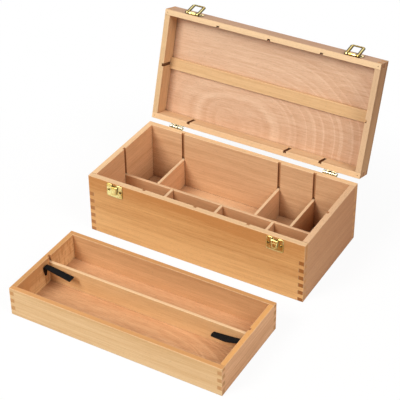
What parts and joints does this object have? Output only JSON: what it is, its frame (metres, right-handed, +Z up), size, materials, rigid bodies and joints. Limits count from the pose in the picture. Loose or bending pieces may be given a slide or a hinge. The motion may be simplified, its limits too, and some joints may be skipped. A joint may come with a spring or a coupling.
{
  "type": "art supply box",
  "caption": "Finger-jointed wooden art box with a hinged lid, snap latches, lift-out dividers standing in grooves and a separate tray with leather pulls.",
  "frame": {"origin": "centre of the base's underside, on the table", "axes": "+X along the box's length, +Y from the front to the back, +Z up; the tray lies on the table in front, at -Y"},
  "size_m": [0.4, 0.5366, 0.3092],
  "materials": {
    "beech_board": "satin lacquer",
    "beech_strip": "satin lacquer",
    "plywood_panel": "satin lacquer",
    "brass_fitting": "polished",
    "leather_pull": "smooth"
  },
  "bodies": {
    "base": {"base_front_wall": "beech_board", "base_back_wall": "beech_board", "base_left_wall": "beech_board", "base_right_wall": "beech_board", "base_bottom_panel": "plywood_panel", "hinge_base_leaf_left": "brass_fitting", "hinge_base_leaf_right": "brass_fitting", "hinge_pin_left": "brass_fitting", "hinge_pin_right": "brass_fitting", "hinge_base_screws": "brass_fitting", "latch_catch_left": "brass_fitting", "latch_catch_right": "brass_fitting", "latch_catch_screws": "brass_fitting"},
    "lid": {"lid_front_wall": "beech_board", "lid_back_wall": "beech_board", "lid_left_wall": "beech_board", "lid_right_wall": "beech_board", "lid_top_panel": "plywood_panel", "lid_batten": "beech_strip", "hinge_lid_leaf_left": "brass_fitting", "hinge_lid_leaf_right": "brass_fitting", "hinge_lid_screws": "brass_fitting", "latch_lid_plate_left": "brass_fitting", "latch_lid_plate_right": "brass_fitting", "latch_lid_screws": "brass_fitting", "latch_pin_left": "brass_fitting", "latch_pin_right": "brass_fitting"},
    "bail_left": {"latch_bail_left": "brass_fitting"},
    "bail_right": {"latch_bail_right": "brass_fitting"},
    "long_divider": {"long_divider": "beech_strip"},
    "front_divider_left": {"front_divider_left": "beech_strip"},
    "front_divider_middle": {"front_divider_middle": "beech_strip"},
    "front_divider_right": {"front_divider_right": "beech_strip"},
    "rear_divider_left": {"rear_divider_left": "beech_strip"},
    "rear_divider_middle": {"rear_divider_middle": "beech_strip"},
    "rear_divider_right": {"rear_divider_right": "beech_strip"},
    "tray": {"tray_front_wall": "beech_board", "tray_back_wall": "beech_board", "tray_left_wall": "beech_board", "tray_right_wall": "beech_board", "tray_bottom_panel": "plywood_panel", "tray_lift_tab_left": "leather_pull", "tray_lift_tab_right": "leather_pull"},
    "tray_divider": {"tray_divider": "beech_strip"}
  },
  "joints": [
    {"name": "lid_hinge", "type": "hinge", "parent": "base", "child": "lid", "pos_m": [0, 0.1025, 0.11115], "axis": [1, 0, 0], "range_deg": [0, 106.6]},
    {"name": "bail_left_hinge", "type": "hinge", "parent": "lid", "child": "bail_left", "pos_m": [-0.148, 0.16212, 0.30573], "axis": [1, 0, 0], "range_deg": [0, 157]},
    {"name": "bail_right_hinge", "type": "hinge", "parent": "lid", "child": "bail_right", "pos_m": [0.148, 0.16212, 0.30573], "axis": [1, 0, 0], "range_deg": [0, 157]},
    {"name": "long_divider_lift", "type": "slide", "parent": "base", "child": "long_divider", "axis": [0, 0, 1], "range_m": [0, 0.05]},
    {"name": "front_divider_left_lift", "type": "slide", "parent": "base", "child": "front_divider_left", "axis": [0, 0, 1], "range_m": [0, 0.05]},
    {"name": "front_divider_middle_lift", "type": "slide", "parent": "base", "child": "front_divider_middle", "axis": [0, 0, 1], "range_m": [0, 0.05]},
    {"name": "front_divider_right_lift", "type": "slide", "parent": "base", "child": "front_divider_right", "axis": [0, 0, 1], "range_m": [0, 0.05]},
    {"name": "rear_divider_left_lift", "type": "slide", "parent": "base", "child": "rear_divider_left", "axis": [0, 0, 1], "range_m": [0, 0.05]},
    {"name": "rear_divider_middle_lift", "type": "slide", "parent": "base", "child": "rear_divider_middle", "axis": [0, 0, 1], "range_m": [0, 0.05]},
    {"name": "rear_divider_right_lift", "type": "slide", "parent": "base", "child": "rear_divider_right", "axis": [0, 0, 1], "range_m": [0, 0.05]},
    {"name": "tray_lift", "type": "slide", "parent": "base", "child": "tray", "axis": [0, 0, 1], "range_m": [0, 0.15]},
    {"name": "tray_divider_lift", "type": "slide", "parent": "tray", "child": "tray_divider", "axis": [0, 0, 1], "range_m": [0, 0.04]}
  ]
}
